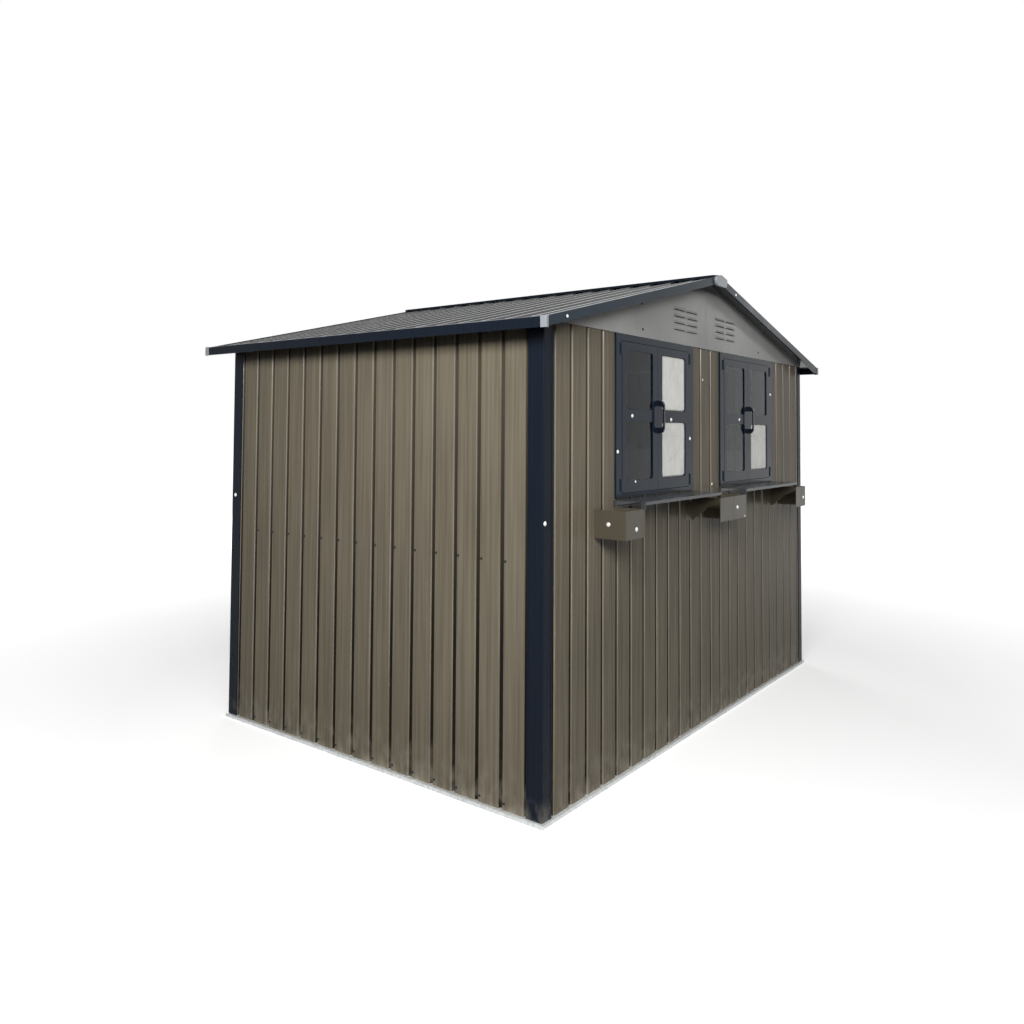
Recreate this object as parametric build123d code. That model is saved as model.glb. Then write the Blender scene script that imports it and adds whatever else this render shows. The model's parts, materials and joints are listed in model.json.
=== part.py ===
"""Flat-pack metal storage shed with a gabled roof.

Millimetres, +Z up.  The walls stand on the ground at Z = 0.  The front gable,
with its two windows and counter shelves, faces -Y and the ridge runs along Y.
The origin is the centre of the whole outline, on the ground.
"""
import os
from math import atan2, cos, hypot, radians, tan

from build123d import *

# Walls
PITCH = 115.0
FRONT_WIDTH = 2790.0
SIDE_LENGTH = 1876.0
WALL_TOP = 1821.0
SHEET = 2.0
SHEET_SETBACK = 3.0
GROOVE_MOUTH = 24.0
GROOVE_FLOOR = 10.0
GROOVE_DEPTH = 12.0
CORNER_CLEARANCE = 25.0
MIDDLE_GROOVES = 10
LAP_EDGE = 4.0
LAP_GAP = 0.6

# Base rails, a channel under each wall with a lip along its outer top edge
RAIL_HEIGHT = 17.0
RAIL_PROUD = 8.0
RAIL_LIP = 3.0
RAIL_DEPTH = 40.0
RAIL_SHEET = 2.0

# Corner posts
POST_FRONT_LEG = 58.0
POST_SIDE_LEG = 69.0
POST_SHEET = 2.5
POST_BEND = 4.0
HEM_WIDTH = 6.0
HEM_PROUD = 1.5

# Mid-height braces inside the long walls
BRACE_HEIGHT = 925.0
BRACE_WIDTH = 40.0
BRACE_DEPTH = 20.0

# Roof
ROOF_SLOPE = 13.6
EAVE_OVERHANG = 98.0
FRONT_OVERHANG = 75.0
BACK_OVERHANG = 95.0
RIB_BASE = 36.0
RIB_CREST = 16.0
RIB_HEIGHT = 12.0
RIDGE_GAP = 12.0
RIDGE_WING = 85.0
RIDGE_LIP = 12.0
TRIM_HEIGHT = 38.0
TRIM_SHEET = 3.0
TRIM_FLANGE = 30.0
TRIM_RETURN = 12.0
FLANGE_SHEET = 2.0
APEX_JOINT = 1.0

# Caps that close the roof trims at the ridge ends and the four corners
APEX_CAP_HALF = 64.0
APEX_CAP_HEIGHT = 58.0
APEX_CAP_DEPTH = 12.0
APEX_CAP_RADIUS = 24.0
APEX_CAP_EDGE = 3.0
CAP_SHEET = 2.0
CORNER_CAP_EAVE_LEG = 20.0
CORNER_CAP_RAKE_LEG = 10.0
CORNER_CAP_PROUD = 5.0
CORNER_CAP_OVERLAP = 2.0

# Gable sheets over the short walls
GABLE_BOTTOM = 1818.0
GABLE_SEAM = 1.0
LOUVRE_GROUP_X = 228.0
LOUVRE_COLUMN = 130.0
LOUVRE_LENGTH = 110.0
LOUVRE_HEIGHT = 12.0
LOUVRE_PROUD = 8.0
LOUVRE_SHEET = 1.5
LOUVRE_ROWS = 4
LOUVRE_ROW = 31.0
LOUVRE_LOWEST = 1884.0

# Windows, each a pair of casement leaves
WINDOW_WIDTH = 724.0
WINDOW_BOTTOM = 1138.0
FRAME_STILE = 46.0
FRAME_SILL = 17.0
FRAME_HEAD = 29.0
FRAME_PROUD = 6.0
FRAME_DEPTH = 30.0
FRAME_LAP = 12.0
FRAME_CLEARANCE = 1.0
LEAF_GAP = 2.0
LEAF_PROUD = 7.0
LEAF_DEPTH = 22.0
LEAF_OUTER_STILE = 35.0
LEAF_MEETING_STILE = 43.0
LEAF_BOTTOM_RAIL = 50.0
LEAF_MIDDLE_RAIL = 52.0
LEAF_TOP_RAIL = 34.0
PANE_RADIUS = 14.0
PANE_SHEET = 3.0
PANE_REBATE = 8.0
PANE_RECESS = 5.0
PANE_CLEARANCE = 0.5
HINGE_RADIUS = 6.0
HINGE_LENGTH = 52.0
HINGE_INSET = 8.0

# Bow handles
HANDLE_HEIGHT = 146.0
HANDLE_STAND = 30.0
HANDLE_BAR = 7.0
HANDLE_WIDTH = 11.0
HANDLE_FOOT = 26.0
HANDLE_OUTER_RADIUS = 24.0
HANDLE_INNER_RADIUS = 10.0
HANDLE_EDGE = 1.5
WINDOW_HANDLE_X = 8.0
WINDOW_HANDLE_Z = 1476.0

# Counter shelves and their box brackets
SHELF_HALF = 371.0
SHELF_REACH = 144.0
SHELF_TOP = 1132.0
SHELF_DEPTH = 28.0
SHELF_SHEET = 2.5
SHELF_FRONT_LIP = 13.0
SHELF_FRONT_LEG = 20.0
SHELF_BACK_RETURN = 16.0
BRACKET_WIDTH = 150.0
BRACKET_HEIGHT = 111.0
BRACKET_SETBACK = 4.0
BRACKET_SHEET = 3.0
BRACKET_FLANGE = 15.0
BRACKET_SPACING = 2.0
GUSSET_FLANGE = 78.0
GUSSET_FLANGE_DROP = 20.0
GUSSET_FLANGE_HEIGHT = 82.0
GUSSET_NOTCH = 9.0

# Door pair in the back wall
DOOR_WIDTH = 1000.0
DOOR_TOP = 1774.0
DOOR_GAP = 3.0
DOOR_DEPTH = 24.0
DOOR_PROUD = 8.0
DOOR_BORDER = 60.0
DOOR_GROOVE_DEPTH = 8.0
DOOR_HANDLE_Z = 1000.0
DOOR_HANDLE_OFFSET = 40.0

# Values worked out from the sizes above
SLOPE = radians(ROOF_SLOPE)
HALF_FRONT = FRONT_WIDTH / 2
HALF_SIDE = SIDE_LENGTH / 2
ROOF_HALF_X = HALF_FRONT + EAVE_OVERHANG
ROOF_HALF_Y = HALF_SIDE + (FRONT_OVERHANG + BACK_OVERHANG) / 2
ROOF_SHIFT = (BACK_OVERHANG - FRONT_OVERHANG) / 2
RIB_TOP = RIB_HEIGHT + SHEET
WINDOW_TOP = GABLE_BOTTOM - FRAME_CLEARANCE
SHELF_BOTTOM = SHELF_TOP - SHELF_DEPTH
WINDOW_X = SHELF_HALF + BRACKET_WIDTH + BRACKET_SPACING / 2
FRONT_REACH = HALF_SIDE + SHELF_REACH
BACK_REACH = HALF_SIDE + BACK_OVERHANG + APEX_CAP_DEPTH
ORIGIN_SHIFT = (FRONT_REACH - BACK_REACH) / 2

FRONT, RIGHT, BACK, LEFT = 0, 90, 180, -90


def save(name, *shapes):
    """Write one node, moved so that the outline is centred on the origin."""
    placed = [Pos(0, ORIGIN_SHIFT, 0) * shape for shape in shapes]
    node = Compound(placed) if len(placed) > 1 else placed[0]
    export_step(node, f"parts/{name}.step")


def along_x(points, x0, x1):
    """Extrude an outline given as (y, z) from x0 to x1."""
    return extrude(Plane.YZ.offset(x0) * Polygon(*points, align=None), amount=x1 - x0, dir=(1, 0, 0))


def along_y(points, y0, y1):
    """Extrude an outline given as (x, z) from y0 to y1."""
    return extrude(Plane.XZ.offset(-y0) * Polygon(*points, align=None), amount=y1 - y0, dir=(0, 1, 0))


def along_z(points, z0, z1):
    """Extrude an outline given as (x, y) from z0 to z1."""
    return extrude(Plane.XY.offset(z0) * Polygon(*points, align=None), amount=z1 - z0, dir=(0, 0, 1))


def block(x0, x1, y0, y1, z0, z1):
    """A box between two corners."""
    return along_z([(x0, y0), (x1, y0), (x1, y1), (x0, y1)], z0, z1)


def facing(side, shape):
    """Turn a piece that was drawn on the front wall to face another side."""
    return Rot(0, 0, side) * shape


def mirrored_x(shape):
    return mirror(shape, about=Plane.YZ)


def folded_sheet(start, end, centres, mouth, floor, depth):
    """Outline of a sheet from start to end with a fold of trapezoid section at each centre."""
    bend = atan2(depth, (mouth - floor) / 2)
    shift = SHEET * tan(bend / 2)
    face = [(start, 0)]
    rear = [(start, SHEET)]
    for centre in centres:
        for side in (-1, 1):
            edge = (centre + side * mouth / 2, 0)
            foot = (centre + side * floor / 2, depth)
            edge_rear = (edge[0] + side * shift, SHEET)
            foot_rear = (foot[0] + side * shift, depth + SHEET)
            face += [edge, foot] if side < 0 else [foot, edge]
            rear += [edge_rear, foot_rear] if side < 0 else [foot_rear, edge_rear]
    face.append((end, 0))
    rear.append((end, SHEET))
    return face + rear[::-1]


def groove_centres(start, end):
    """Grooves stand half a pitch either side of the wall's middle, and on every pitch from there."""
    margin = GROOVE_MOUTH / 2 + SHEET
    count = int(max(abs(start), abs(end)) / PITCH) + 1
    centres = [(index + 0.5) * PITCH for index in range(-count, count)]
    return [centre for centre in centres if start + margin < centre < end - margin]


def wall_sheet(half, start, end, bottom, top):
    """A grooved sheet of the wall whose outer plane is half away, drawn facing the front."""
    outline = folded_sheet(start, end, groove_centres(start, end), GROOVE_MOUTH, GROOVE_FLOOR, GROOVE_DEPTH)
    plane = -half + SHEET_SETBACK
    return along_z([(x, plane + depth) for x, depth in outline], bottom, top)


def roof_under(x):
    """Height of the roof sheets' underside, which rests on the top edges of the long walls."""
    return WALL_TOP + (HALF_FRONT - SHEET_SETBACK - abs(x)) * tan(SLOPE)


def over_sheet(x, normal):
    """Height of a plane that lies a normal distance above the underside of the roof sheets."""
    return roof_under(x) + normal / cos(SLOPE)


def base_rail(half, reach):
    """Channel under one wall, mitred at both ends."""
    lip = RAIL_PROUD + RAIL_LIP
    inner = RAIL_HEIGHT - RAIL_SHEET
    section = [
        (lip, RAIL_HEIGHT), (lip, inner), (RAIL_PROUD, inner), (RAIL_PROUD, 0),
        (-RAIL_DEPTH, 0), (-RAIL_DEPTH, RAIL_SHEET), (RAIL_PROUD - RAIL_SHEET, RAIL_SHEET),
        (RAIL_PROUD - RAIL_SHEET, inner), (-RAIL_DEPTH, inner), (-RAIL_DEPTH, RAIL_HEIGHT),
    ]
    end = reach + lip
    front = -half - lip
    width = RAIL_DEPTH + lip
    channel = along_x([(-half - out, z) for out, z in section], -end, end)
    mitre = [(-end, front), (end, front), (end - width, front + width), (-end + width, front + width)]
    return channel & along_z(mitre, 0, RAIL_HEIGHT)


def corner_post():
    """Folded corner post at the front left, with a hem along the free edge of each leg."""
    x = -HALF_FRONT
    y = -HALF_SIDE
    legs = [
        (x, y), (x + POST_FRONT_LEG, y), (x + POST_FRONT_LEG, y + POST_SHEET),
        (x + POST_SHEET, y + POST_SHEET), (x + POST_SHEET, y + POST_SIDE_LEG), (x, y + POST_SIDE_LEG),
    ]
    post = along_z(legs, RAIL_HEIGHT, GABLE_BOTTOM)
    corner = post.edges().filter_by(Axis.Z).sort_by(lambda edge: edge.center().X + edge.center().Y)[0]
    post = fillet(corner, POST_BEND)
    front_hem = block(
        x + POST_FRONT_LEG - HEM_WIDTH, x + POST_FRONT_LEG, y - HEM_PROUD, y, RAIL_HEIGHT, GABLE_BOTTOM)
    side_hem = block(
        x - HEM_PROUD, x, y + POST_SIDE_LEG - HEM_WIDTH, y + POST_SIDE_LEG, RAIL_HEIGHT, GABLE_BOTTOM)
    return post + front_hem + side_hem


def whole_wall(half, reach):
    """The three sheets of a wall, which meet beside a groove either side of the middle sheet."""
    end = reach - CORNER_CLEARANCE
    lap = (MIDDLE_GROOVES - 1) * PITCH / 2 + GROOVE_MOUTH / 2 + LAP_EDGE
    edges = [(-end, -lap - LAP_GAP), (-lap, lap), (lap + LAP_GAP, end)]
    return [wall_sheet(half, start, stop, RAIL_HEIGHT, WALL_TOP) for start, stop in edges]


def frame_hole(middle, width, bottom):
    """The hole through a wall sheet that the body of a frame passes into."""
    half = width / 2 - FRAME_LAP + FRAME_CLEARANCE
    rear = -HALF_SIDE + SHEET_SETBACK + GROOVE_DEPTH + SHEET
    return block(middle - half, middle + half, -HALF_SIDE, rear, bottom, WALL_TOP)


def wall_brace():
    """Hat-section brace behind a long wall, which the row of screws at mid height goes into."""
    back = -HALF_FRONT + SHEET_SETBACK + GROOVE_DEPTH + SHEET
    end = HALF_SIDE - POST_SIDE_LEG
    low = BRACE_HEIGHT - BRACE_WIDTH / 2
    brace = block(-end, end, back, back + BRACE_DEPTH, low, low + BRACE_WIDTH)
    hollow = block(
        -end, end, back + SHEET, back + BRACE_DEPTH, low + SHEET, low + BRACE_WIDTH - SHEET)
    return brace - hollow


def louvre(x, z):
    """Pressed louvre with its mouth down: the hood and the slot behind it."""
    face = -HALF_SIDE
    half = LOUVRE_LENGTH / 2
    hood = along_x([(face, z), (face - LOUVRE_PROUD, z), (face, z + LOUVRE_HEIGHT)], x - half, x + half)
    inner = half - LOUVRE_SHEET
    slant = LOUVRE_SHEET * hypot(LOUVRE_PROUD, LOUVRE_HEIGHT)
    lip = face - LOUVRE_PROUD + slant / LOUVRE_HEIGHT
    top = z + LOUVRE_HEIGHT - slant / LOUVRE_PROUD
    mouth = [(face + SHEET_SETBACK, z), (lip, z), (face, top), (face + SHEET_SETBACK, top)]
    return hood, along_x(mouth, x - inner, x + inner)


def gable_sheet():
    """Left half of the gable, with hems along its lower edge and the middle seam, and its louvres."""
    outer = -HALF_FRONT + SHEET_SETBACK
    inner = -GABLE_SEAM / 2
    face = -HALF_SIDE
    outline = [
        (outer, GABLE_BOTTOM), (inner, GABLE_BOTTOM), (inner, roof_under(inner)), (outer, roof_under(outer))]
    sheet = along_y(outline, face, face + SHEET_SETBACK)
    hem_end = outer + POST_FRONT_LEG
    sheet += block(hem_end, inner, face - HEM_PROUD, face, GABLE_BOTTOM, GABLE_BOTTOM + HEM_WIDTH)
    seam_top = roof_under(inner - HEM_WIDTH)
    sheet += block(inner - HEM_WIDTH, inner, face - HEM_PROUD, face, GABLE_BOTTOM, seam_top)
    for column in (-1, 1):
        for row in range(LOUVRE_ROWS):
            x = -LOUVRE_GROUP_X + column * LOUVRE_COLUMN / 2
            hood, mouth = louvre(x, LOUVRE_LOWEST + row * LOUVRE_ROW)
            sheet = sheet + hood - mouth
    return sheet


def lined_opening(width, bottom, top, stile, sill, head, plane):
    """Frame round an opening: a face flange that laps the wall sheets, and a body behind it."""
    half = width / 2
    front = plane - FRAME_PROUD
    middle = plane + SHEET_SETBACK
    rear = middle + FRAME_DEPTH
    flange = block(-half, half, front, middle, bottom, top)
    lap_low = FRAME_LAP if sill else 0
    body = block(-half + FRAME_LAP, half - FRAME_LAP, middle, rear, bottom + lap_low, top)
    opening = block(-half + stile, half - stile, front, rear, bottom + sill, top - head)
    return flange + body - opening


def window_frame():
    """Window frame with the barrels of its four hinges, centred on x = 0."""
    frame = lined_opening(
        WINDOW_WIDTH, WINDOW_BOTTOM, WINDOW_TOP, FRAME_STILE, FRAME_SILL, FRAME_HEAD, -HALF_SIDE)
    x = WINDOW_WIDTH / 2 - FRAME_STILE + HINGE_RADIUS + LEAF_GAP
    low = WINDOW_BOTTOM + FRAME_SILL + HINGE_INSET
    high = WINDOW_TOP - FRAME_HEAD - HINGE_INSET - HINGE_LENGTH
    for side in (-1, 1):
        for z in (low, high):
            barrel = Cylinder(HINGE_RADIUS, HINGE_LENGTH, align=(Align.CENTER, Align.CENTER, Align.MIN))
            frame += Pos(side * x, -HALF_SIDE - FRAME_PROUD, z) * barrel
    return frame


def leaf_sizes():
    """Left edge, right edge, bottom and top of a left leaf, and the height of its two panes."""
    left = -WINDOW_WIDTH / 2 + FRAME_STILE + LEAF_GAP
    right = -LEAF_GAP / 2
    bottom = WINDOW_BOTTOM + FRAME_SILL + LEAF_GAP
    top = WINDOW_TOP - FRAME_HEAD - LEAF_GAP
    pane_height = (top - bottom - LEAF_BOTTOM_RAIL - LEAF_MIDDLE_RAIL - LEAF_TOP_RAIL) / 2
    return left, right, bottom, top, pane_height


def rounded_plate(x0, x1, y0, y1, z0, z1, radius):
    """Plate facing -Y with round corners."""
    plate = block(x0, x1, y0, y1, z0, z1)
    return fillet(plate.edges().filter_by(Axis.Y), radius)


def pane_places():
    """The x range and the lower edges of the two panes of a left leaf."""
    left, right, bottom, _, pane_height = leaf_sizes()
    x0 = left + LEAF_OUTER_STILE
    x1 = right - LEAF_MEETING_STILE
    low = bottom + LEAF_BOTTOM_RAIL
    high = low + pane_height + LEAF_MIDDLE_RAIL
    return x0, x1, (low, high), pane_height


def window_leaf():
    """Left leaf of a window, with two round-cornered lights rebated from behind."""
    left, right, bottom, top, _ = leaf_sizes()
    front = -HALF_SIDE - LEAF_PROUD
    rear = front + LEAF_DEPTH
    leaf = block(left, right, front, rear, bottom, top)
    x0, x1, lows, height = pane_places()
    for low in lows:
        leaf -= rounded_plate(x0, x1, front, rear, low, low + height, PANE_RADIUS)
        leaf -= rounded_plate(
            x0 - PANE_REBATE, x1 + PANE_REBATE, front + PANE_RECESS, rear,
            low - PANE_REBATE, low + height + PANE_REBATE, PANE_RADIUS + PANE_REBATE)
    return leaf


def window_panes():
    """The two panes of a left leaf, seated against the front of their rebates."""
    front = -HALF_SIDE - LEAF_PROUD + PANE_RECESS
    x0, x1, lows, height = pane_places()
    grow = PANE_REBATE - PANE_CLEARANCE
    return [
        rounded_plate(
            x0 - grow, x1 + grow, front, front + PANE_SHEET,
            low - grow, low + height + grow, PANE_RADIUS + grow)
        for low in lows
    ]


def bow_handle(x, face, middle):
    """Bow handle that stands out of a face towards -Y, with its middle at a given height."""
    low = middle - HANDLE_HEIGHT / 2
    high = middle + HANDLE_HEIGHT / 2
    half = HANDLE_WIDTH / 2
    outer = block(x - half, x + half, face - HANDLE_STAND, face, low, high)
    grip = outer.edges().filter_by(Axis.X).sort_by(Axis.Y)[:2]
    outer = fillet(grip, HANDLE_OUTER_RADIUS)
    gap = block(
        x - half, x + half, face - HANDLE_STAND + HANDLE_BAR, face, low + HANDLE_FOOT, high - HANDLE_FOOT)
    bends = gap.edges().filter_by(Axis.X).sort_by(Axis.Y)[:2]
    bow = outer - fillet(bends, HANDLE_INNER_RADIUS)
    rims = bow.faces().filter_by(Axis.X).edges() - bow.faces().filter_by(Axis.Y).sort_by(Axis.Y)[-2:].edges()
    return fillet(rims, HANDLE_EDGE)


def counter_shelf():
    """Folded tray shelf: a shallow front lip, a back leg turned under, and framed open ends."""
    wall = -HALF_SIDE + SHEET_SETBACK
    front = -HALF_SIDE - SHELF_REACH
    tray = block(-SHELF_HALF, SHELF_HALF, front, wall, SHELF_BOTTOM, SHELF_TOP)
    inside_end = SHELF_HALF - SHELF_SHEET
    inside_front = front + SHELF_SHEET
    inside_back = wall - SHELF_SHEET
    channel = block(
        -inside_end, inside_end, inside_front, inside_back,
        SHELF_BOTTOM + SHELF_SHEET, SHELF_TOP - SHELF_SHEET)
    mouth = block(
        -SHELF_HALF, SHELF_HALF, front + SHELF_FRONT_LEG, wall - SHELF_BACK_RETURN,
        SHELF_BOTTOM, SHELF_TOP - SHELF_SHEET)
    below_lip = block(
        -inside_end, inside_end, front, front + SHELF_FRONT_LEG, SHELF_BOTTOM, SHELF_TOP - SHELF_FRONT_LIP)
    return tray - channel - mouth - below_lip


def shelf_bracket():
    """Open box bracket beyond the left end of a shelf, whose gusset carries the shelf's end."""
    wall = -HALF_SIDE + SHEET_SETBACK
    front = -HALF_SIDE - SHELF_REACH + BRACKET_SETBACK
    inner = -SHELF_HALF + BRACKET_SHEET
    outer = -SHELF_HALF - BRACKET_WIDTH
    top = SHELF_BOTTOM
    bottom = top - BRACKET_HEIGHT
    middle_y = (wall + front) / 2
    middle_z = (top + bottom) / 2
    side = block(outer, outer + BRACKET_SHEET, front, wall, bottom, top)
    face = block(outer, inner, front, front + BRACKET_SHEET, bottom, top)
    tab = block(outer, outer + BRACKET_FLANGE, wall - BRACKET_SHEET, wall, bottom, top)
    web = [
        (wall, top), (wall, bottom), (middle_y, middle_z), (middle_y, middle_z + GUSSET_NOTCH),
        (middle_y - GUSSET_NOTCH, middle_z + GUSSET_NOTCH), (front, top - GUSSET_NOTCH), (front, top),
    ]
    gusset = along_x(web, inner - BRACKET_SHEET, inner)
    plate_top = top - GUSSET_FLANGE_DROP
    plate = block(
        inner - BRACKET_SHEET, inner + GUSSET_FLANGE, wall - BRACKET_SHEET, wall,
        plate_top - GUSSET_FLANGE_HEIGHT, plate_top)
    return side + face + tab + gusset + plate


def roof_sheet():
    """Right half of the roof: a sheet with raised ribs that run down the slope."""
    end = ROOF_HALF_Y - TRIM_SHEET
    count = int((end - RIB_BASE) / PITCH)
    centres = [index * PITCH for index in range(-count, count + 1)]
    outline = folded_sheet(-end, end, centres, RIB_BASE, RIB_CREST, RIB_HEIGHT)
    length = (ROOF_HALF_X - TRIM_SHEET) / cos(SLOPE) - RIB_TOP * tan(SLOPE)
    flat = along_x(outline, RIDGE_GAP, length)
    return Pos(0, 0, roof_under(0)) * Rot(0, ROOF_SLOPE, 0) * flat


def sloping_strip(x0, x1, low, high):
    """Outline of a strip that follows the left slope between two normal distances."""
    return [(x0, over_sheet(x0, low)), (x1, over_sheet(x1, low)),
            (x1, over_sheet(x1, high)), (x0, over_sheet(x0, high))]


def rake_trim():
    """Left half of the trim along the front edge of the roof."""
    edge = -ROOF_HALF_Y
    end = -APEX_JOINT / 2
    top = RIB_TOP + FLANGE_SHEET
    low = top - TRIM_HEIGHT * cos(SLOPE)
    trim = along_y(sloping_strip(-ROOF_HALF_X, end, low, top), edge, edge + TRIM_SHEET)
    inner = -ROOF_HALF_X + TRIM_SHEET
    trim += along_y(sloping_strip(inner, end, RIB_TOP, top), edge, edge + TRIM_FLANGE)
    turned = -ROOF_HALF_X + TRIM_RETURN
    trim += along_y(sloping_strip(turned, end, low, low + FLANGE_SHEET), edge, edge + TRIM_RETURN)
    return trim


def eave_trim():
    """Trim along the left eave, between the trims of the two gable edges."""
    edge = -ROOF_HALF_X
    inner = edge + TRIM_SHEET
    top = over_sheet(edge, RIB_TOP + FLANGE_SHEET)
    low = top - TRIM_HEIGHT
    end = ROOF_HALF_Y - TRIM_FLANGE
    web_end = ROOF_HALF_Y - TRIM_SHEET
    section = [
        (edge, low), (edge + TRIM_RETURN, low), (edge + TRIM_RETURN, low + FLANGE_SHEET),
        (inner, low + FLANGE_SHEET), (inner, over_sheet(inner, RIB_TOP)), (edge, over_sheet(edge, RIB_TOP)),
    ]
    flange = sloping_strip(edge, edge + TRIM_FLANGE, RIB_TOP, RIB_TOP + FLANGE_SHEET)
    return along_y(section, -web_end, web_end) + along_y(flange, -end, end)


def ridge_cap():
    """Low folded cap over the gap between the roof sheets, on lips that stand on the trims at both ends."""
    seat = RIB_TOP + FLANGE_SHEET
    inner = RIDGE_WING - SHEET
    foot = over_sheet(RIDGE_WING, seat)
    shoulder = foot + RIDGE_LIP
    left = [
        (-RIDGE_WING, shoulder), (-RIDGE_WING, foot), (-inner, over_sheet(inner, seat)),
        (-inner, shoulder - SHEET), (0, over_sheet(0, seat)),
    ]
    right = [(-x, z) for x, z in left[-2::-1]]
    return along_y([*left, *right, (0, over_sheet(0, seat + SHEET))], -ROOF_HALF_Y, ROOF_HALF_Y)


def apex_cap():
    """Shallow moulded cap over the joint of the trims at the front end of the ridge."""
    peak = over_sheet(0, RIB_TOP + FLANGE_SHEET + SHEET)
    front = -ROOF_HALF_Y - APEX_CAP_DEPTH

    def body(inset, start):
        half = APEX_CAP_HALF - inset
        top = peak - inset
        shoulder = top - half * tan(SLOPE)
        base = peak - APEX_CAP_HEIGHT + inset
        outline = [(-half, shoulder), (-half, base), (half, base), (half, shoulder), (0, top)]
        plate = along_y(outline, start, -ROOF_HALF_Y)
        corners = plate.edges().filter_by(Axis.Y).group_by(Axis.Z)[0]
        return fillet(corners, APEX_CAP_RADIUS - inset)

    cap = body(0, front)
    cap = fillet(cap.faces().sort_by(Axis.Y)[0].edges(), APEX_CAP_EDGE)
    return cap - body(CAP_SHEET, front + APEX_CAP_EDGE)


def corner_cap():
    """Moulded clip over the joint of the trims at the front left corner of the roof."""
    x = -ROOF_HALF_X
    y = -ROOF_HALF_Y
    top = over_sheet(x, RIB_TOP + FLANGE_SHEET)
    outer_x = x - CORNER_CAP_PROUD
    outer_y = y - CORNER_CAP_PROUD
    rake_end = x + CORNER_CAP_RAKE_LEG
    eave_end = y + CORNER_CAP_EAVE_LEG
    legs = [
        (outer_x, outer_y), (rake_end, outer_y), (rake_end, y), (x, y), (x, eave_end), (outer_x, eave_end)]
    cap = along_z(legs, top - TRIM_HEIGHT - CORNER_CAP_OVERLAP, top + CORNER_CAP_OVERLAP)
    corner = cap.edges().filter_by(Axis.Z).sort_by(lambda edge: edge.center().X + edge.center().Y)[0]
    return fillet(corner, CAP_SHEET)


def door_leaf():
    """Left leaf of the door pair, drawn on the front wall, with the wall's grooves pressed into it."""
    left = -DOOR_WIDTH / 2 + DOOR_GAP
    right = -DOOR_GAP / 2
    bottom = RAIL_HEIGHT + DOOR_GAP
    top = DOOR_TOP - DOOR_GAP
    front = -HALF_SIDE - DOOR_PROUD
    leaf = block(left, right, front, front + DOOR_DEPTH, bottom, top)
    inner_left = left + DOOR_BORDER
    inner_right = right - DOOR_BORDER
    for centre in groove_centres(inner_left - SHEET, inner_right + SHEET):
        groove = [
            (centre - GROOVE_MOUTH / 2, front), (centre - GROOVE_FLOOR / 2, front + DOOR_GROOVE_DEPTH),
            (centre + GROOVE_FLOOR / 2, front + DOOR_GROOVE_DEPTH), (centre + GROOVE_MOUTH / 2, front)]
        leaf -= along_z(groove, bottom + DOOR_BORDER, top - DOOR_BORDER)
    return leaf


def door_frame():
    """Frame round the door opening, which stands on the base rail."""
    width = DOOR_WIDTH + 2 * FRAME_STILE
    return lined_opening(width, RAIL_HEIGHT, WINDOW_TOP, FRAME_STILE, 0, WINDOW_TOP - DOOR_TOP, -HALF_SIDE)


def build_base():
    save("base_rail_front", facing(FRONT, base_rail(HALF_SIDE, HALF_FRONT)))
    save("base_rail_back", facing(BACK, base_rail(HALF_SIDE, HALF_FRONT)))
    save("base_rail_left", facing(LEFT, base_rail(HALF_FRONT, HALF_SIDE)))
    save("base_rail_right", facing(RIGHT, base_rail(HALF_FRONT, HALF_SIDE)))
    post = corner_post()
    save("corner_post_front_left", post)
    save("corner_post_front_right", mirrored_x(post))
    save("corner_post_back_left", mirror(post, about=Plane.XZ))
    save("corner_post_back_right", facing(BACK, post))


def build_walls():
    for name, side in (("left", LEFT), ("right", RIGHT)):
        save(f"wall_{name}", *[facing(side, sheet) for sheet in whole_wall(HALF_FRONT, HALF_SIDE)])
    save("wall_braces", *[facing(side, wall_brace()) for side in (LEFT, RIGHT)])
    hole_bottom = WINDOW_BOTTOM + FRAME_LAP - FRAME_CLEARANCE
    for name, sheet in zip(("left", "middle", "right"), whole_wall(HALF_SIDE, HALF_FRONT)):
        for middle in (-WINDOW_X, WINDOW_X):
            sheet -= frame_hole(middle, WINDOW_WIDTH, hole_bottom)
        save(f"wall_front_{name}", sheet)
    corner = HALF_FRONT - CORNER_CLEARANCE
    door_edge = DOOR_WIDTH / 2 + FRAME_STILE - FRAME_LAP + FRAME_CLEARANCE
    back = facing(BACK, wall_sheet(HALF_SIDE, -corner, -door_edge, RAIL_HEIGHT, WALL_TOP))
    save("wall_back", back, mirrored_x(back))
    gable = gable_sheet()
    save("gable_front", gable, mirrored_x(gable))
    save("gable_back", facing(BACK, gable), facing(BACK, mirrored_x(gable)))


def build_windows():
    frame = window_frame()
    leaf = window_leaf()
    left_panes = window_panes()
    panes = left_panes + [mirrored_x(pane) for pane in left_panes]
    face = -HALF_SIDE - LEAF_PROUD
    for name, side in (("left", -1), ("right", 1)):
        centre = Pos(side * WINDOW_X, 0, 0)
        save(f"{name}_window_frame", centre * frame)
        save(f"{name}_window_left_leaf", centre * leaf)
        save(f"{name}_window_right_leaf", centre * mirrored_x(leaf))
        save(f"{name}_window_panes", *[centre * pane for pane in panes])
        save(f"{name}_window_handle", centre * bow_handle(WINDOW_HANDLE_X, face, WINDOW_HANDLE_Z))


def build_shelves():
    shelf = counter_shelf()
    bracket = shelf_bracket()
    for name, side in (("left", -1), ("right", 1)):
        centre = Pos(side * WINDOW_X, 0, 0)
        save(f"{name}_counter_shelf", centre * shelf)
        save(f"{name}_shelf_left_bracket", centre * bracket)
        save(f"{name}_shelf_right_bracket", centre * mirrored_x(bracket))


def save_roof(name, *shapes):
    """Write a node of the roof, which reaches further over the back wall than over the front."""
    save(name, *[Pos(0, ROOF_SHIFT, 0) * shape for shape in shapes])


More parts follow.
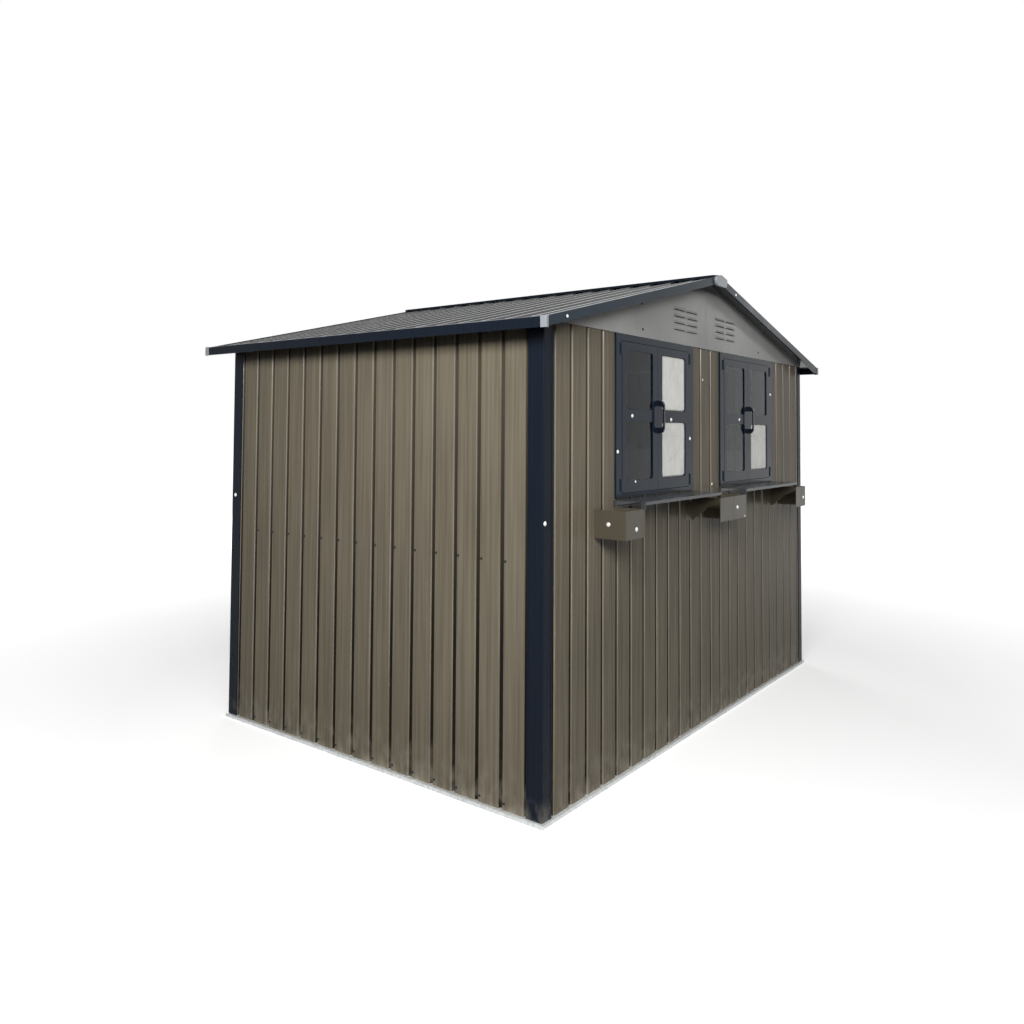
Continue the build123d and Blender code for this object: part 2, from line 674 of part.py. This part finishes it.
def build_roof():
    sheet = roof_sheet()
    save_roof("roof_right", sheet)
    save_roof("roof_left", mirrored_x(sheet))
    save_roof("ridge_cap", ridge_cap())
    rake = rake_trim()
    save_roof("rake_trim_front", rake, mirrored_x(rake))
    save_roof("rake_trim_back", facing(BACK, rake), facing(BACK, mirrored_x(rake)))
    eave = eave_trim()
    save_roof("eave_trim_left", eave)
    save_roof("eave_trim_right", mirrored_x(eave))
    corner = corner_cap()
    corners = [corner, mirrored_x(corner), facing(BACK, corner), facing(BACK, mirrored_x(corner))]
    apex = apex_cap()
    save_roof("roof_end_caps", apex, facing(BACK, apex), *corners)


def build_door():
    leaf = door_leaf()
    save("door_frame", facing(BACK, door_frame()))
    save("door_left_leaf", facing(BACK, leaf))
    save("door_right_leaf", facing(BACK, mirrored_x(leaf)))
    face = -HALF_SIDE - DOOR_PROUD
    handles = [facing(BACK, bow_handle(step * DOOR_HANDLE_OFFSET, face, DOOR_HANDLE_Z)) for step in (-1, 1)]
    save("door_handles", *handles)


os.makedirs("parts", exist_ok=True)
build_base()
build_walls()
build_windows()
build_shelves()
build_roof()
build_door()
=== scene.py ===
"""Looks of the flat-pack metal storage shed: materials, fasteners, pane film, studio and camera.

Metres, +Z up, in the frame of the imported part.
"""
import json
import math

import bmesh
import bpy
from mathutils import Matrix, Vector, noise


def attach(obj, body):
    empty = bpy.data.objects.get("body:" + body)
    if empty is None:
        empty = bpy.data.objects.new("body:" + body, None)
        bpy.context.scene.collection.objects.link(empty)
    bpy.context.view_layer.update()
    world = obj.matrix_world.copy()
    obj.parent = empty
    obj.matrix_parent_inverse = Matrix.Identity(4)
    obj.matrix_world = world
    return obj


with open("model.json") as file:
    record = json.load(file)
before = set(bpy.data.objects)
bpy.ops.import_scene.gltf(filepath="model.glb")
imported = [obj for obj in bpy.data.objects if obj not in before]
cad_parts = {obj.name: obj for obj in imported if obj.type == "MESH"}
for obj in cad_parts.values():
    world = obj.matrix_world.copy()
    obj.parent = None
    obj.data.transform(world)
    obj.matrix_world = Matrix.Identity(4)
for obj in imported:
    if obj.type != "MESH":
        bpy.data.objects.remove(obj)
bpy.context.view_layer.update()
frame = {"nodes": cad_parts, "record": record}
nodes = frame["nodes"]

IMAGE_SIZE = 1024
SENSOR = 36.0

# Places on the shed, as the solids have them
FRONT_SHIFT = 0.0185
PITCH = 0.115
HALF_SIDE = 0.938
FRONT_FACE = -HALF_SIDE + FRONT_SHIFT
BACK_FACE = HALF_SIDE + FRONT_SHIFT
SIDE_FACE = 1.395
SHEET_SETBACK = 0.003
GROOVE_DEPTH = 0.012
RAKE_OVERHANG = 0.075
RAKE_FACE = FRONT_FACE - RAKE_OVERHANG
BRACKET_FRONT = -1.0595
BRACKET_SIDE = -1.043


# Materials

NOISE_LOW = 0.3
NOISE_HIGH = 0.7
FLAT_LIMIT = 0.0005
DUST = (0.36, 0.33, 0.27)
DUST_COVER = 0.6
DUST_NOISE = (0.42, 0.72)
TONE_SPAN = 0.3
SMEAR_SPAN = 0.25
PEEL_HEIGHT = 0.00005
PANE_WARP = 0.0006
FILM_WARP = 0.0006
CREASE_SCALE = 9
CREASE_WIDTH = 0.03
CREASE_SHADE = 0.35
MOTTLE_NOISE = (0.35, 0.75)
MOTTLE_TONE = 0.55
MARK_TONE_SPAN = 0.15
MARK_GLOSS_SPAN = 0.3
MARK_HEIGHT = 0.0002

# GROOVE_WALL and the rim's start and end are shares of a groove's depth, the heights are in metres,
# and RIM_FOOT is the share of the rim's gloss that is left at the foot of a wall
# Painted shade: the groove floors are painted darker, most towards the foot of a wall
GROOVE_WALL = (0.3, 0.5)
GROOVE_SHADE_HEIGHTS = (0.6, 1.6)
RIM_START = 0.1
RIM_END = (0.4, 0.5)
RIM_HEIGHTS = (0.2, 1.5)
RIM_FOOT = 0.25


def new_material(name):
    material = bpy.data.materials.new(name)
    material.use_nodes = True
    tree = material.node_tree
    tree.nodes.clear()
    output = tree.nodes.new("ShaderNodeOutputMaterial")
    shader = tree.nodes.new("ShaderNodeBsdfPrincipled")
    tree.links.new(shader.outputs["BSDF"], output.inputs["Surface"])
    coords = tree.nodes.new("ShaderNodeTexCoord")
    return material, tree, shader, coords.outputs["Object"]


def noise_at(tree, coords, scale, stretch, detail, offset):
    """Noise from 0 to 1 whose pattern is stretched along an axis with a small factor."""
    mapping = tree.nodes.new("ShaderNodeMapping")
    mapping.inputs["Scale"].default_value = stretch
    mapping.inputs["Location"].default_value = (offset, offset * 0.7, offset * 1.3)
    texture = tree.nodes.new("ShaderNodeTexNoise")
    texture.inputs["Scale"].default_value = scale
    texture.inputs["Detail"].default_value = detail
    tree.links.new(coords, mapping.inputs["Vector"])
    tree.links.new(mapping.outputs["Vector"], texture.inputs["Vector"])
    return texture.outputs["Fac"]


def remap(tree, value, low, high, to_low, to_high):
    node = tree.nodes.new("ShaderNodeMapRange")
    node.inputs["From Min"].default_value = low
    node.inputs["From Max"].default_value = high
    node.inputs["To Min"].default_value = to_low
    node.inputs["To Max"].default_value = to_high
    tree.links.new(value, node.inputs["Value"])
    return node.outputs["Result"]


def math_node(tree, operation, first, second):
    node = tree.nodes.new("ShaderNodeMath")
    node.operation = operation
    for socket, value in zip(node.inputs, (first, second)):
        if isinstance(value, (int, float)):
            socket.default_value = value
        else:
            tree.links.new(value, socket)
    return node.outputs["Value"]


def blend_colours(tree, factor, first, second):
    node = tree.nodes.new("ShaderNodeMix")
    node.data_type = "RGBA"
    colour_inputs = [s for s in node.inputs if s.type == "RGBA"]
    factor_input = next(s for s in node.inputs if s.type == "VALUE")
    tree.links.new(factor, factor_input)
    for socket, value in zip(colour_inputs, (first, second)):
        if isinstance(value, tuple):
            socket.default_value = (*value, 1)
        else:
            tree.links.new(value, socket)
    return next(s for s in node.outputs if s.type == "RGBA")


def shade(colour, factor):
    return tuple(channel * factor for channel in colour)


def add_bump(tree, shader, height, distance, strength=1.0, before=None):
    node = tree.nodes.new("ShaderNodeBump")
    node.inputs["Distance"].default_value = distance
    node.inputs["Strength"].default_value = strength
    tree.links.new(height, node.inputs["Height"])
    if before is not None:
        tree.links.new(before, node.inputs["Normal"])
    tree.links.new(node.outputs["Normal"], shader.inputs["Normal"])
    return node.outputs["Normal"]


def axes_of(tree, coords):
    split = tree.nodes.new("ShaderNodeSeparateXYZ")
    tree.links.new(coords, split.inputs["Vector"])
    return split.outputs["X"], split.outputs["Y"], split.outputs["Z"]


def groove_depth(tree, coords):
    """0 on the outer plane of the four walls, 1 on the floor of their grooves."""
    x, y = axes_of(tree, coords)[:2]
    from_side = math_node(tree, "SUBTRACT", SIDE_FACE - SHEET_SETBACK, math_node(tree, "ABSOLUTE", x, 0))
    middle = math_node(tree, "ABSOLUTE", math_node(tree, "SUBTRACT", y, FRONT_SHIFT), 0)
    from_front = math_node(tree, "SUBTRACT", HALF_SIDE - SHEET_SETBACK, middle)
    nearest = math_node(tree, "MINIMUM", from_side, from_front)
    return remap(tree, nearest, FLAT_LIMIT, GROOVE_DEPTH, 0.0, 1.0)


def height_of(tree, coords):
    return axes_of(tree, coords)[2]


def over_noise(tree, value, low, high):
    """Spread the middle of a noise over a range."""
    return remap(tree, value, NOISE_LOW, NOISE_HIGH, low, high)


def painted(name, colour, roughness=0.32, grain=(1, 1, 0.02), streak_and_sheen=0.03, blotch=0.08, dent=0.0012,
            dust_height=0.0, metallic=0.0, specular=0.5, edge=0.0, wave=0.0,
            groove_shade=None, groove_gloss=0.5):
    """Sheet metal with rolled streaks, on the walls partly painted reflection, waves and blotches, soft
    dents, rounded folds and low dust.

    With groove shade, shares of the colour at the top and foot of a wall, the groove floors take a
    painted shade, darker towards the foot of the wall, and their rims another gloss.
    """
    material, tree, shader, coords = new_material(name)
    # Vertical streaks in the colour: rolled marks, and on the walls partly painted reflection streaks
    streaks_and_sheen = noise_at(tree, coords, scale=90, stretch=grain, detail=2.0, offset=3.1)
    blotches = noise_at(tree, coords, scale=1.7, stretch=(1, 1, 1), detail=4.0, offset=7.7)
    tone = over_noise(tree, streaks_and_sheen, -streak_and_sheen, streak_and_sheen)
    tone = math_node(tree, "ADD", tone, over_noise(tree, blotches, -blotch, blotch))
    tone = remap(tree, tone, -TONE_SPAN, TONE_SPAN, 0.0, 1.0)
    paint = blend_colours(tree, tone, shade(colour, 1 - TONE_SPAN), shade(colour, 1 + TONE_SPAN))
    # Painted shade in the grooves, darker towards the foot of the wall
    if groove_shade:
        top_shade, foot_shade = groove_shade
        depth = groove_depth(tree, coords)
        rise = remap(tree, height_of(tree, coords), *GROOVE_SHADE_HEIGHTS, 0.0, 1.0)
        groove_shade_paint = blend_colours(tree, rise, shade(colour, foot_shade), shade(colour, top_shade))
        paint = blend_colours(tree, remap(tree, depth, *GROOVE_WALL, 0.0, 1.0), paint, groove_shade_paint)
    if dust_height:
        low = remap(tree, height_of(tree, coords), 0.0, dust_height, DUST_COVER, 0.0)
        speckle = noise_at(tree, coords, scale=26, stretch=(1, 1, 0.5), detail=6.0, offset=1.9)
        speckle = remap(tree, speckle, *DUST_NOISE, 0.0, 1.0)
        paint = blend_colours(tree, math_node(tree, "MULTIPLY", low, speckle), paint, DUST)
    tree.links.new(paint, shader.inputs["Base Color"])
    smear = noise_at(tree, coords, scale=9, stretch=(1, 1, 0.4), detail=5.0, offset=5.3)
    gloss = over_noise(tree, smear, roughness * (1 - SMEAR_SPAN), roughness * (1 + SMEAR_SPAN))
    tree.links.new(gloss, shader.inputs["Roughness"])
    normal = None
    if edge:
        fold = tree.nodes.new("ShaderNodeBevel")
        fold.samples = 4
        fold.inputs["Radius"].default_value = edge
        normal = fold.outputs["Normal"]
    if wave:
        waves = noise_at(tree, coords, scale=34, stretch=grain, detail=2.0, offset=6.6)
        normal = add_bump(tree, shader, waves, wave, before=normal)
    dents = noise_at(tree, coords, scale=3.2, stretch=(1, 1, 0.6), detail=1.0, offset=9.4)
    normal = add_bump(tree, shader, dents, dent, before=normal)
    peel = noise_at(tree, coords, scale=700, stretch=(1, 1, 1), detail=1.0, offset=2.2)
    add_bump(tree, shader, peel, PEEL_HEIGHT, strength=0.5, before=normal)
    shader.inputs["Metallic"].default_value = metallic
    if groove_shade:
        rim = remap(tree, depth, 0.0, RIM_START, 0.0, 1.0)
        rim = math_node(tree, "MULTIPLY", rim, remap(tree, depth, *RIM_END, 1.0, 0.0))
        climb = remap(tree, height_of(tree, coords), *RIM_HEIGHTS, RIM_FOOT, 1.0)
        rim = math_node(tree, "MULTIPLY", rim, climb)
        polish = remap(tree, rim, 0.0, 1.0, specular, groove_gloss)
        tree.links.new(polish, shader.inputs["Specular IOR Level"])
    else:
        shader.inputs["Specular IOR Level"].default_value = specular
    return material


def pane_material():
    """Clear acrylic that shows the dark inside of the shed."""
    material, tree, shader, coords = new_material("clear_acrylic")
    haze = noise_at(tree, coords, scale=14, stretch=(1, 1, 0.5), detail=5.0, offset=4.0)
    tree.links.new(over_noise(tree, haze, 0.02, 0.09), shader.inputs["Roughness"])
    shader.inputs["Base Color"].default_value = (0.40, 0.45, 0.48, 1)
    shader.inputs["Transmission Weight"].default_value = 1.0
    shader.inputs["IOR"].default_value = 1.2
    warp = noise_at(tree, coords, scale=5, stretch=(1, 1, 1), detail=1.0, offset=6.0)
    add_bump(tree, shader, warp, PANE_WARP)
    return material


def film_material():
    """Protective film: milky, with a grey mottle and creases drawn as lines of painted shade."""
    material, tree, shader, coords = new_material("protective_film")
    mottle = noise_at(tree, coords, scale=38, stretch=(1, 1, 0.35), detail=6.0, offset=2.5)
    crease = tree.nodes.new("ShaderNodeTexVoronoi")
    crease.feature = "DISTANCE_TO_EDGE"
    crease.inputs["Scale"].default_value = CREASE_SCALE
    tree.links.new(coords, crease.inputs["Vector"])
    # Painted shade along the film's creases
    crease_shade = remap(tree, crease.outputs["Distance"], 0.0, CREASE_WIDTH, CREASE_SHADE, 0.0)
    tone = math_node(tree, "ADD", remap(tree, mottle, *MOTTLE_NOISE, 0.0, MOTTLE_TONE), crease_shade)
    milky = blend_colours(tree, tone, (0.86, 0.86, 0.81), (0.62, 0.62, 0.58))
    tree.links.new(milky, shader.inputs["Base Color"])
    shader.inputs["Roughness"].default_value = 0.45
    add_bump(tree, shader, mottle, FILM_WARP, strength=0.6)
    return material


def plain_material(name, colour, roughness, metallic=0.0):
    """Moulded plastic or bare metal, with fine handling marks."""
    material, tree, shader, coords = new_material(name)
    marks = noise_at(tree, coords, scale=60, stretch=(1, 1, 1), detail=6.0, offset=1.1)
    tone = over_noise(tree, marks, 0.0, 1.0)
    darker, lighter = shade(colour, 1 - MARK_TONE_SPAN), shade(colour, 1 + MARK_TONE_SPAN)
    tree.links.new(blend_colours(tree, tone, darker, lighter), shader.inputs["Base Color"])
    gloss = over_noise(tree, marks, roughness * (1 - MARK_GLOSS_SPAN), roughness * (1 + MARK_GLOSS_SPAN))
    tree.links.new(gloss, shader.inputs["Roughness"])
    shader.inputs["Metallic"].default_value = metallic
    add_bump(tree, shader, marks, MARK_HEIGHT, strength=0.4)
    return material


slots = {
    "wall_taupe": painted("wall_paint", (0.162, 0.140, 0.102), roughness=0.18, specular=0.035,
                          # its strong streaks are partly painted reflection streaks
                          dust_height=0.2, streak_and_sheen=0.18, edge=0.002, wave=0.002,
                          # painted shade in the grooves, darker towards the foot
                          groove_shade=(0.4, 0.1), groove_gloss=1.0),
    "gable_grey": painted("gable_paint", (0.34, 0.34, 0.33), roughness=0.2, specular=0.1, blotch=0.2,
                          grain=(1, 1, 1), dent=0.003, edge=0.0015),
    "roof_brown": painted("roof_paint", (0.030, 0.031, 0.033), roughness=0.16, specular=0.4,
                          grain=(0.02, 1, 1), edge=0.002),
    "post_navy": painted("post_paint", (0.007, 0.011, 0.019), roughness=0.3, specular=0.06,
                         streak_and_sheen=0.12, dust_height=0.1, edge=0.0015),
    "rake_slate": painted("rake_paint", (0.020, 0.032, 0.045), roughness=0.22, specular=0.1,
                          grain=(0.1, 1, 1), edge=0.0015),
    "cap_grey": painted("cap_paint", (0.26, 0.28, 0.30), grain=(1, 1, 1)),
    "window_slate": painted("window_paint", (0.007, 0.016, 0.029), roughness=0.14, specular=0.14,
                            dent=0.002, edge=0.001),
    "shelf_grey": painted("shelf_paint", (0.045, 0.050, 0.055), roughness=0.25, specular=0.35,
                          grain=(0.05, 1, 1), edge=0.001),
    "bracket_taupe": painted("bracket_paint", (0.076, 0.065, 0.046), specular=0.25, grain=(1, 1, 1),
                             edge=0.001),
    "galvanised": painted("zinc", (0.72, 0.74, 0.74), roughness=0.4, grain=(1, 1, 1), streak_and_sheen=0.15,
                          blotch=0.15, metallic=0.4),
    "clear_pane": pane_material(),
    "handle_black": plain_material("handle_plastic", (0.004, 0.006, 0.010), roughness=0.16),
}
film = film_material()
bright_zinc = plain_material("bright_zinc", (0.86, 0.86, 0.84), roughness=0.28, metallic=0.5)
dark_zinc = plain_material("dark_zinc", (0.010, 0.010, 0.010), roughness=0.5, metallic=0.2)

for row in frame["record"]["subparts"]:
    mesh = nodes[row["node"]].data
    mesh.materials.clear()
    mesh.materials.append(slots[row["material_slot"]])


# Pieces

CRISP_ANGLE = math.radians(35)


def finish_piece(name, mesh_builder, material):
    mesh = bpy.data.meshes.new(name)
    mesh_builder.to_mesh(mesh)
    mesh_builder.free()
    for face in mesh.polygons:
        face.use_smooth = True
    piece = bpy.data.objects.new(name, mesh)
    bpy.context.scene.collection.objects.link(piece)
    mesh.materials.append(material)
    piece.modifiers.new("crisp", "EDGE_SPLIT").split_angle = CRISP_ANGLE
    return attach(piece, "root")


def lathe(builder, profile, segments, place):
    """Turn a profile of (radius, height) about the Z axis of a matrix; its last point is on the axis."""
    rings = []
    for radius, height in profile[:-1]:
        ring = []
        for step in range(segments):
            angle = 2 * math.pi * step / segments
            point = Vector((radius * math.cos(angle), radius * math.sin(angle), height))
            ring.append(builder.verts.new(place @ point))
        rings.append(ring)
    tip = builder.verts.new(place @ Vector((0, 0, profile[-1][1])))
    for low, high in zip(rings, rings[1:]):
        for step in range(segments):
            after = (step + 1) % segments
            builder.faces.new((low[step], low[after], high[after], high[step]))
    for step in range(segments):
        builder.faces.new((rings[-1][step], rings[-1][(step + 1) % segments], tip))
    builder.faces.new(list(reversed(rings[0])))


def facing_matrix(point, normal):
    return Matrix.Translation(point) @ Vector(normal).to_track_quat("Z", "Y").to_matrix().to_4x4()


DOME_BOLT = [
    (0.0090, 0.0), (0.0090, 0.0009), (0.0086, 0.0012), (0.0066, 0.0012), (0.0065, 0.0020),
    (0.0058, 0.0030), (0.0045, 0.0036), (0.0028, 0.0039), (0.0024, 0.0026), (0.0, 0.0024),
]
SCREW_FLANGE = [(0.0058, 0.0), (0.0058, 0.0006), (0.0050, 0.0010), (0.0, 0.0010)]
SCREW_HEAD = [(0.0042, 0.0010), (0.0042, 0.0032), (0.0036, 0.0038), (0.0, 0.0038)]
ROUND_SEGMENTS = 24
HEX_SEGMENTS = 6


def scaled(profile, scale):
    return [(radius * scale, height * scale) for radius, height in profile]


def dome_bolts(name, places, scale=1.0):
    builder = bmesh.new()
    for point, normal in places:
        lathe(builder, scaled(DOME_BOLT, scale), ROUND_SEGMENTS, facing_matrix(point, normal))
    finish_piece(name, builder, bright_zinc)


def hex_screws(name, places, scale=1.0):
    builder = bmesh.new()
    for point, normal in places:
        place = facing_matrix(point, normal)
        lathe(builder, scaled(SCREW_FLANGE, scale), ROUND_SEGMENTS, place)
        lathe(builder, scaled(SCREW_HEAD, scale), HEX_SEGMENTS, place)
    finish_piece(name, builder, dark_zinc)


MID_SCREW_Z = 0.9255
BASE_SCREW_Z = 0.040
SCREW_BESIDE = 0.018
SIDE_GROOVES = 7
OUT_FRONT = (0, -1, 0)


def side_wall_screws(side, z):
    """A row of screws along a long wall, one beside each groove."""
    x = side * (SIDE_FACE - SHEET_SETBACK)
    places = []
    for index in range(-SIDE_GROOVES, SIDE_GROOVES):
        y = FRONT_SHIFT + (index + 0.5) * PITCH - SCREW_BESIDE
        places.append(((x, y, z), (side, 0, 0)))
    return places


for label, side in (("left", -1), ("right", 1)):
    hex_screws(f"wall_{label}_middle_screws", side_wall_screws(side, MID_SCREW_Z))
    hex_screws(f"wall_{label}_base_screws", side_wall_screws(side, BASE_SCREW_Z), scale=0.9)


def on_front(x, z, out=0.0):
    """A place on the plane of the front posts and gable, or a distance out from it."""
    return ((x, FRONT_FACE - out, z), OUT_FRONT)


def on_front_sheet(x, z):
    """A place on the front wall's sheets, which lie behind the posts."""
    return on_front(x, z, -SHEET_SETBACK)


LEAF_PROUD = 0.007
FRAME_PROUD = 0.006
MIDDLE_RAIL_Z = 1.4772
dome_bolts("window_bolts", [
    on_front(-0.8730, 1.3283, FRAME_PROUD),
    on_front(-0.7527, MIDDLE_RAIL_Z, LEAF_PROUD),
    on_front(-0.3919, 1.4658, LEAF_PROUD),
    on_front(-0.1951, 1.3799, FRAME_PROUD),
    on_front(0.4041, MIDDLE_RAIL_Z, LEAF_PROUD),
    on_front(0.8593, 1.6263, FRAME_PROUD),
], scale=0.9)
dome_bolts("window_small_bolts", [on_front(-0.7241, 1.2000, LEAF_PROUD)], scale=0.6)
hex_screws("gable_screws", [
    on_front(-0.6542, 1.9639),
    on_front(-0.6479, 1.8529),
    on_front(0.6933, 1.8545),
])
dome_bolts("rake_bolts", [
    ((-1.3557, RAKE_FACE, 1.8264), OUT_FRONT),
    ((0.1992, RAKE_FACE, 2.1056), OUT_FRONT),
], scale=0.7)
dome_bolts("bracket_bolts", [
    ((BRACKET_SIDE, -0.9821, 1.0502), (-1, 0, 0)),
    ((-0.9598, BRACKET_FRONT, 1.0308), OUT_FRONT),
    ((0.0445, BRACKET_FRONT, 1.0500), OUT_FRONT),
    ((1.0060, BRACKET_FRONT, 1.0426), OUT_FRONT),
])
dome_bolts("shelf_wall_bolts", [
    on_front_sheet(-0.0839, 1.0701),
    on_front_sheet(0.0748, 1.1530),
    on_front_sheet(0.0756, 1.1085),
], scale=0.7)
dome_bolts("wall_small_bolts", [
    ((0.1369, BRACKET_FRONT, 0.9998), OUT_FRONT),
    on_front_sheet(-0.0290, 1.6659),
], scale=0.5)

POST_BOLT_Z = 1.077
FRONT_POST_INSET = 0.011
BACK_POST_INSET = 0.0276
BACK_POST_RISE = 0.008
post_bolts = []
for side in (-1, 1):
    post_bolts.append(on_front(side * (SIDE_FACE - FRONT_POST_INSET), POST_BOLT_Z))
    back_place = (side * SIDE_FACE, BACK_FACE - BACK_POST_INSET, POST_BOLT_Z + BACK_POST_RISE)
    post_bolts.append((back_place, (side, 0, 0)))
dome_bolts("post_bolts", post_bolts)


# Film on three panes

PANE_INNER = 0.044
PANE_OUTER = 0.278
PANE_LOWS = (1.207, 1.5055)
PANE_HEIGHT = 0.2465
PANE_RADIUS = 0.014
PANE_RECESS = 0.005
FILM_LIFT = 0.0006
FILM_EDGE = 0.001
FILM_SHEET = 0.0002
FILM_COLUMNS = 24
FILM_ROWS = 28
RIPPLE_HEIGHT = 0.0012
WINDOW_X = 0.522


def film_ripple(x, z):
    """How far the film stands off its pane at a place, from wide and fine creases."""
    wide = noise.noise(Vector((x * 14, z * 9, 3.7)))
    fine = noise.noise(Vector((x * 41, z * 30, 8.1)))
    return abs(wide + 0.5 * fine) * RIPPLE_HEIGHT


def film_sheet(name, x0, x1, z0, z1):
    """A rounded sheet with slight creases, on the front of a pane."""
    pane_face = FRONT_FACE - LEAF_PROUD + PANE_RECESS
    builder = bmesh.new()
    grid = []
    for row in range(FILM_ROWS + 1):
        z = z0 + (z1 - z0) * row / FILM_ROWS
        near = min(z - z0, z1 - z)
        inset = 0.0
        if near < PANE_RADIUS:
            inset = PANE_RADIUS - math.sqrt(max(0.0, PANE_RADIUS ** 2 - (PANE_RADIUS - near) ** 2))
        line = []
        for column in range(FILM_COLUMNS + 1):
            x = x0 + inset + (x1 - x0 - 2 * inset) * column / FILM_COLUMNS
            line.append(builder.verts.new((x, pane_face - FILM_LIFT - film_ripple(x, z), z)))
        grid.append(line)
    for low_line, high_line in zip(grid, grid[1:]):
        for column in range(FILM_COLUMNS):
            after = column + 1
            builder.faces.new((low_line[column], low_line[after], high_line[after], high_line[column]))
    piece = finish_piece(name, builder, film)
    piece.modifiers.new("thickness", "SOLIDIFY").thickness = FILM_SHEET


def pane_film(name, window, side, level):
    """Film on one pane.

    Window and side are -1 to the left and 1 to the right. Level 0 is the lower pane and 1 the upper.
    """
    middle = window * WINDOW_X
    edges = sorted((middle + side * PANE_INNER, middle + side * PANE_OUTER))
    low = PANE_LOWS[level]
    high = low + PANE_HEIGHT
    film_sheet(name, edges[0] + FILM_EDGE, edges[1] - FILM_EDGE, low + FILM_EDGE, high - FILM_EDGE)


pane_film("film_left_window_upper", window=-1, side=1, level=1)
pane_film("film_left_window_lower", window=-1, side=1, level=0)
pane_film("film_right_window_lower", window=1, side=1, level=0)


# Studio

WORLD_LIGHT = 0.16
FLOOR_HALF = 60.0
FLOOR_DROP = 0.0005
FLOOR_GREY = 0.12
FLOOR_WHITE = 0.8
FLOOR_LIFT = 0.45
FLOOR_NEAR = 2.2
FLOOR_FAR = 6.0


def background_rays(tree):
    """1 for camera, glossy and transmission rays, 0 for the rays that carry light."""
    path = tree.nodes.new("ShaderNodeLightPath")
    shown = math_node(tree, "MAXIMUM", path.outputs["Is Camera Ray"], path.outputs["Is Glossy Ray"])
    return math_node(tree, "MAXIMUM", shown, path.outputs["Is Transmission Ray"])


def make_world():
    """Surroundings that are seen as white and light the shed dimly."""
    world = bpy.data.worlds.new("studio")
    bpy.context.scene.world = world
    world.use_nodes = True
    tree = world.node_tree
    background = tree.nodes["Background"]
    background.inputs["Color"].default_value = (1, 1, 1, 1)
    level = remap(tree, background_rays(tree), 0.0, 1.0, WORLD_LIGHT, 1.0)
    tree.links.new(level, background.inputs["Strength"])


def make_floor():
    """A floor that keeps a soft shadow near the shed and turns white away from it."""
    builder = bmesh.new()
    corners = []
    for x, y in ((-1, -1), (1, -1), (1, 1), (-1, 1)):
        corners.append(builder.verts.new((x * FLOOR_HALF, y * FLOOR_HALF, -FLOOR_DROP)))
    builder.faces.new(corners)
    mesh = bpy.data.meshes.new("floor")
    builder.to_mesh(mesh)
    builder.free()
    floor = bpy.data.objects.new("floor", mesh)
    bpy.context.scene.collection.objects.link(floor)
    material, tree, shader, coords = new_material("floor_white")
    shown = background_rays(tree)
    tone = blend_colours(tree, shown, (FLOOR_GREY,) * 3, (FLOOR_WHITE,) * 3)
    tree.links.new(tone, shader.inputs["Base Color"])
    shader.inputs["Emission Color"].default_value = (1, 1, 1, 1)
    spread = tree.nodes.new("ShaderNodeVectorMath")
    spread.operation = "LENGTH"
    tree.links.new(coords, spread.inputs[0])
    lift = remap(tree, spread.outputs["Value"], FLOOR_NEAR, FLOOR_FAR, FLOOR_LIFT, 1.0)
    tree.links.new(math_node(tree, "MULTIPLY", shown, lift), shader.inputs["Emission Strength"])
    shader.inputs["Roughness"].default_value = 0.9
    shader.inputs["Specular IOR Level"].default_value = 0.0
    mesh.materials.append(material)


def soft_box(name, place, target, width, height, radiance):
    """Area light of a given radiance that looks at a target."""
    data = bpy.data.lights.new(name, "AREA")
    data.shape = "RECTANGLE"
    data.size = width
    data.size_y = height
    data.energy = radiance * width * height * math.pi
    lamp = bpy.data.objects.new(name, data)
    bpy.context.scene.collection.objects.link(lamp)
    lamp.location = place
    lamp.rotation_euler = (Vector(target) - Vector(place)).to_track_quat("-Z", "Y").to_euler()
    lamp.visible_camera = False


CAMERA_PLACE = (-3.9076, -2.6628, 1.4130)


def add_camera():
    """The camera's angles are in radians, its focal length and image centre in pixels."""
    yaw, pitch, roll = 0.9049, 0.0384, 0.0069
    focal, centre_x, centre_y = 845.196, 493.584, 397.642
    forward = Vector((math.sin(yaw) * math.cos(pitch), math.cos(yaw) * math.cos(pitch), math.sin(pitch)))
    level = Vector((math.cos(yaw), -math.sin(yaw), 0))
    upright = level.cross(forward)
    right = math.cos(roll) * level + math.sin(roll) * upright
    up = math.cos(roll) * upright - math.sin(roll) * level
    data = bpy.data.cameras.new("camera")
    data.sensor_width = SENSOR
    data.lens = SENSOR * focal / IMAGE_SIZE
    data.shift_x = (IMAGE_SIZE / 2 - centre_x) / IMAGE_SIZE
    data.shift_y = -(IMAGE_SIZE / 2 - centre_y) / IMAGE_SIZE
    camera = bpy.data.objects.new("camera", data)
    bpy.context.scene.collection.objects.link(camera)
    place = Matrix((right, up, -forward)).transposed().to_4x4()
    place.translation = Vector(CAMERA_PLACE)
    camera.matrix_world = place
    bpy.context.scene.camera = camera


make_world()
make_floor()
soft_box("key", (-5.2, -4.8, 3.5), (0.0, -0.9, 1.8), width=2.4, height=1.6, radiance=15.0)
soft_box("near", (-4.2, -1.9, 3.0), (-1.4, -0.7, 1.3), width=1.2, height=1.2, radiance=27.0)
soft_box("strip", (-4.0, -9.0, 4.2), (-1.4, 0.0, 1.8), width=2.4, height=2.0, radiance=7.0)
soft_box("side", (8.8, -3.8, 3.4), (0.8, -0.95, 1.9), width=1.1, height=0.9, radiance=2.0)
soft_box("back", (6.5, 8.0, 2.3), (0.3, 0.4, 1.2), width=4.0, height=2.0, radiance=15.0)
add_camera()
bpy.context.scene.view_settings.view_transform = "Standard"
